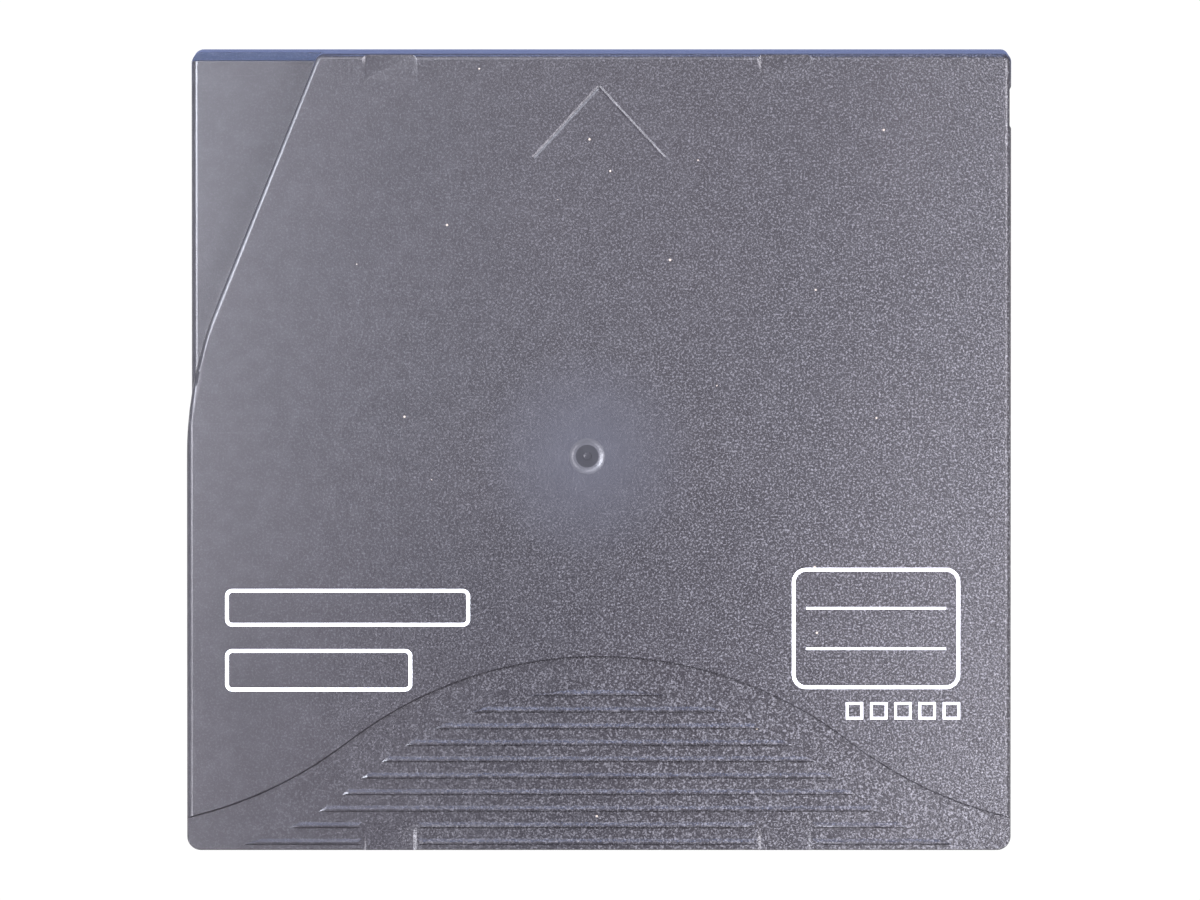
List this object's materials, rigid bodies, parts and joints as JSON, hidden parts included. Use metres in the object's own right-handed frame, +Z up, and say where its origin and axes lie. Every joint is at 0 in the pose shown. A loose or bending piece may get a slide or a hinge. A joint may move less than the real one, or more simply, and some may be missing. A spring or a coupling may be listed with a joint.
{
  "type": "data_tape_cartridge",
  "caption": "Flat square half-inch data tape cartridge: closed two-part case with rear finger grip, one tape reel driven from below, side door over the leader pin",
  "frame": {"origin": "middle of the underside's bounding box, on the surface it lies on", "axes": "+X across the case to the right, towards the door; +Y towards the end that enters the drive; +Z up, out of the top face"},
  "size_m": [0.1054, 0.102, 0.0215],
  "materials": {
    "case_plastic": "fine spark-eroded texture, satin",
    "screw_steel": "blackened zinc",
    "reel_plastic": "satin moulded",
    "recording_tape": "smooth coated film",
    "clutch_steel": "stamped, bright",
    "brake_plastic": "satin acetal",
    "spring_steel": "drawn wire and strip",
    "pin_steel": "ground and polished",
    "clip_plastic": "satin acetal",
    "slider_plastic": "satin moulded",
    "board_laminate": "solder resist",
    "chip_resin": "moulded resin"
  },
  "bodies": {
    "case": {"upper_shell": "case_plastic", "lower_shell": "case_plastic", "shell_screw_front_left": "screw_steel", "shell_screw_front_right": "screw_steel", "shell_screw_rear_left": "screw_steel", "shell_screw_rear_right": "screw_steel", "brake_spring": "spring_steel", "door_spring": "spring_steel", "leader_pin": "pin_steel", "pin_clip": "clip_plastic", "leader_tape": "recording_tape", "pin_spring_upper": "spring_steel", "pin_spring_lower": "spring_steel", "memory_board": "board_laminate", "memory_chip": "chip_resin"},
    "reel": {"reel_hub": "reel_plastic", "upper_flange": "reel_plastic", "tape_pack": "recording_tape", "clutch_plate": "clutch_steel"},
    "release": {"release_pad": "brake_plastic"},
    "brake": {"brake_button": "brake_plastic"},
    "door": {"sliding_door": "case_plastic"},
    "write_protect": {"write_protect_slider": "slider_plastic"}
  },
  "joints": [
    {"name": "reel_spin", "type": "hinge", "parent": "case", "child": "reel", "pos_m": [-0.0015, -0.0005, 0], "axis": [0, 0, 1], "continuous": true},
    {"name": "brake_lift", "type": "slide", "parent": "case", "child": "brake", "axis": [0, 0, 1], "range_m": [0, 0.0018], "stiffness_N_per_m": 600, "deforming": ["brake_spring"]},
    {"name": "release_lift", "type": "slide", "parent": "reel", "child": "release", "axis": [0, 0, 1], "range_m": [0, 0.0018]},
    {"name": "door_slide", "type": "slide", "parent": "case", "child": "door", "axis": [0, -1, 0], "range_m": [0, 0.028], "stiffness_N_per_m": 25, "deforming": ["door_spring"]},
    {"name": "write_protect_slide", "type": "slide", "parent": "case", "child": "write_protect", "axis": [1, 0, 0], "range_m": [0, 0.0043]}
  ],
  "couplings": [
    {"joint": "release_lift", "follows": "brake_lift", "ratio": 1}
  ]
}
